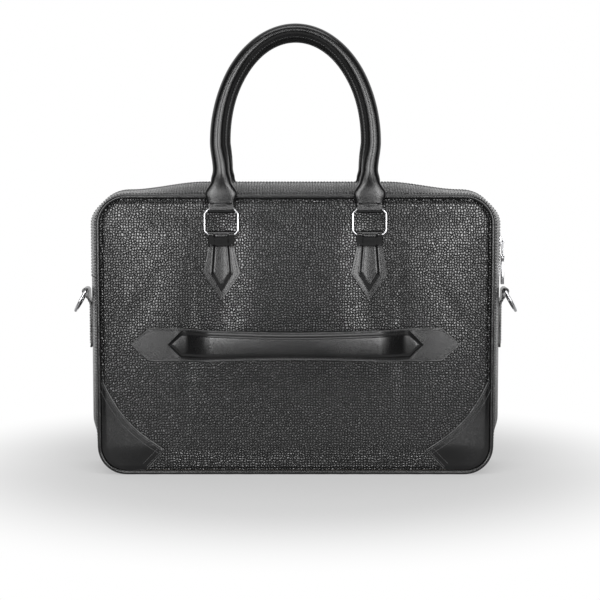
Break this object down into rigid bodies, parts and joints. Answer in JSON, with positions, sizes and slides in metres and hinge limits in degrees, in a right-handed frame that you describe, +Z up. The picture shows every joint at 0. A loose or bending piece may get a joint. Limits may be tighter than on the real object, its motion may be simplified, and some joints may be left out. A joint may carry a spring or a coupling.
{
  "type": "leather briefcase",
  "caption": "Soft leather briefcase with a piped zip gusset that opens at the top, rolled handles on hinged rings, a rear luggage strap and a D-ring on each side.",
  "frame": {"origin": "centre of the base, on the surface that the case stands on", "axes": "+Z up, +X to the right seen from behind, -Y out of the rear panel that carries the luggage strap"},
  "size_m": [0.4432, 0.1193, 0.4403],
  "materials": {
    "grained_leather": "black pebbled grain, semi-gloss",
    "smooth_leather": "black fine grain, semi-gloss, stitched edges",
    "metal": "polished silver plating",
    "zip": "black woven tape with a black coil",
    "lining": "dark grey woven lining",
    "board": "stiffener board, hidden",
    "cord": "twisted filler cord, hidden"
  },
  "bodies": {
    "case": {"rear_panel": "grained_leather", "front_panel": "grained_leather", "gusset": "grained_leather", "rear_piping": "smooth_leather", "front_piping": "smooth_leather", "rear_left_zip_strip": "grained_leather", "rear_right_zip_strip": "grained_leather", "front_left_zip_strip": "grained_leather", "front_right_zip_strip": "grained_leather", "rear_left_zip_tape": "zip", "rear_right_zip_tape": "zip", "front_left_zip_tape": "zip", "front_right_zip_tape": "zip", "rear_board": "board", "front_board": "board", "base_board": "board", "rear_lining": "lining", "front_lining": "lining", "gusset_lining": "lining", "rear_left_handle_tab": "smooth_leather", "rear_right_handle_tab": "smooth_leather", "front_left_handle_tab": "smooth_leather", "front_right_handle_tab": "smooth_leather", "luggage_strap": "smooth_leather", "luggage_strap_pad": "smooth_leather", "rear_left_corner_patch": "smooth_leather", "rear_right_corner_patch": "smooth_leather", "front_left_corner_patch": "smooth_leather", "front_right_corner_patch": "smooth_leather", "left_side_tab": "smooth_leather", "right_side_tab": "smooth_leather"},
    "rear_flap": {"rear_zip_strip": "grained_leather", "rear_zip_tape": "zip"},
    "front_flap": {"front_zip_strip": "grained_leather", "front_zip_tape": "zip"},
    "rear_rings": {"rear_left_ring": "metal", "rear_right_ring": "metal"},
    "front_rings": {"front_left_ring": "metal", "front_right_ring": "metal"},
    "rear_handle": {"rear_handle_roll": "smooth_leather", "rear_handle_core": "cord", "rear_left_handle_end": "smooth_leather", "rear_right_handle_end": "smooth_leather"},
    "front_handle": {"front_handle_roll": "smooth_leather", "front_handle_core": "cord", "front_left_handle_end": "smooth_leather", "front_right_handle_end": "smooth_leather"},
    "left_d_ring": {"left_d_ring": "metal"},
    "right_d_ring": {"right_d_ring": "metal"},
    "zip_slider": {"zip_slider": "metal"},
    "zip_link": {"zip_link": "metal"},
    "zip_pull": {"zip_pull": "metal"}
  },
  "joints": [
    {"name": "rear_flap_fold", "type": "hinge", "parent": "case", "child": "rear_flap", "pos_m": [0, -0.0403, 0.2738], "axis": [1, 0, 0], "range_deg": [0, 55]},
    {"name": "front_flap_fold", "type": "hinge", "parent": "case", "child": "front_flap", "pos_m": [0, 0.0403, 0.2738], "axis": [-1, 0, 0], "range_deg": [0, 55]},
    {"name": "rear_ring_swing", "type": "hinge", "parent": "case", "child": "rear_rings", "pos_m": [0, -0.047, 0.2375], "axis": [1, 0, 0], "range_deg": [0, 90]},
    {"name": "rear_handle_swing", "type": "hinge", "parent": "rear_rings", "child": "rear_handle", "pos_m": [0, -0.047, 0.2615], "axis": [1, 0, 0], "range_deg": [-4, 85]},
    {"name": "front_ring_swing", "type": "hinge", "parent": "case", "child": "front_rings", "pos_m": [0, 0.047, 0.2375], "axis": [-1, 0, 0], "range_deg": [0, 90]},
    {"name": "front_handle_swing", "type": "hinge", "parent": "front_rings", "child": "front_handle", "pos_m": [0, 0.047, 0.2615], "axis": [-1, 0, 0], "range_deg": [-4, 85]},
    {"name": "left_d_ring_swing", "type": "hinge", "parent": "case", "child": "left_d_ring", "pos_m": [-0.209, 0, 0.1786], "axis": [0, 1, 0], "range_deg": [-20, 100]},
    {"name": "right_d_ring_swing", "type": "hinge", "parent": "case", "child": "right_d_ring", "pos_m": [0.209, 0, 0.1786], "axis": [0, -1, 0], "range_deg": [-20, 100]},
    {"name": "zip_slide", "type": "slide", "parent": "case", "child": "zip_slider", "axis": [0, 0, 1], "range_m": [0, 0.011]},
    {"name": "zip_link_swing", "type": "hinge", "parent": "zip_slider", "child": "zip_link", "pos_m": [0.2064, 0, 0.2287], "axis": [0, -1, 0], "range_deg": [0, 90]},
    {"name": "zip_pull_swing", "type": "hinge", "parent": "zip_link", "child": "zip_pull", "pos_m": [0.2064, 0, 0.2137], "axis": [0, -1, 0], "range_deg": [0, 90]}
  ]
}
